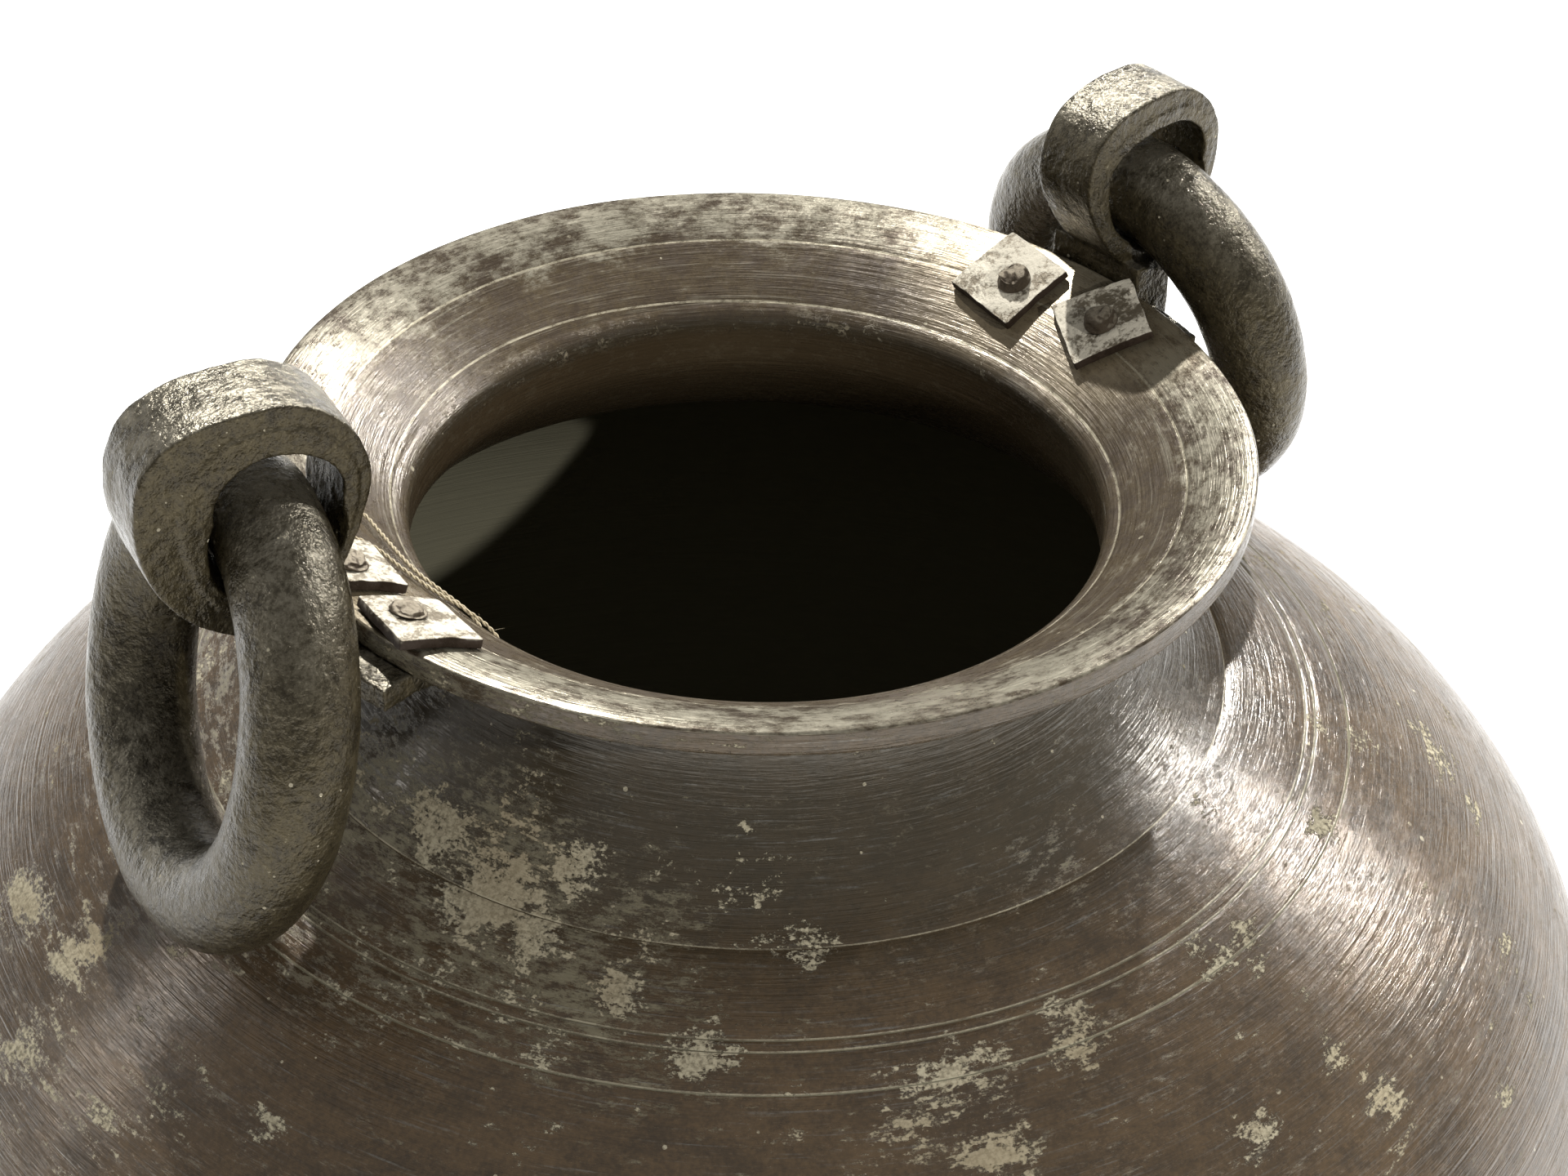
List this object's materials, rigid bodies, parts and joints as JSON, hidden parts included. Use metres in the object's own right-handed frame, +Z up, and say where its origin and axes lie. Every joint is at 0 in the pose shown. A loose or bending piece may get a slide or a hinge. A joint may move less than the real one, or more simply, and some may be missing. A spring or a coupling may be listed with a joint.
{
  "type": "handled pot",
  "caption": "Round-bellied brass pot with a flared rim, riveted ears and swinging ring handles.",
  "frame": {"origin": "centre of the flat base, on the surface the pot stands on", "axes": "+Z up along the pot's axis; +X towards the far ear, a few degrees off its bearing; -X towards the near ear"},
  "size_m": [0.5248, 0.5248, 0.448],
  "materials": {
    "pot_brass": "old brass with a dark brown patina, turned rings and pale mineral speckles",
    "forged_brass": "hand-forged brass, dark olive-brown patina, rubbed bright on the crowns",
    "washer_metal": "dull sheet with pale dust and dark edges",
    "rivet_metal": "reddish brown, hammered over",
    "twine_fibre": "plain two-strand plant fibre twine, frayed"
  },
  "bodies": {
    "pot": {"pot_body": "pot_brass", "ear_far": "forged_brass", "ear_near": "forged_brass", "washer_far_a": "washer_metal", "rivet_far_a": "rivet_metal", "washer_far_b": "washer_metal", "rivet_far_b": "rivet_metal", "washer_near_a": "washer_metal", "rivet_near_a": "rivet_metal", "washer_near_b": "washer_metal", "rivet_near_b": "rivet_metal", "twine": "twine_fibre"},
    "ring_far": {"ring_far": "forged_brass"},
    "ring_near": {"ring_near": "forged_brass"}
  },
  "joints": [
    {"name": "ring_far_swing", "type": "hinge", "parent": "pot", "child": "ring_far", "pos_m": [0.1546, 0.01108, 0.4043], "axis": [0.0262, -0.9997, 0], "range_deg": [0, 273]},
    {"name": "ring_near_swing", "type": "hinge", "parent": "pot", "child": "ring_near", "pos_m": [-0.15512, 0.01085, 0.409], "axis": [0.2199, 0.9755, 0], "range_deg": [0, 270]}
  ]
}
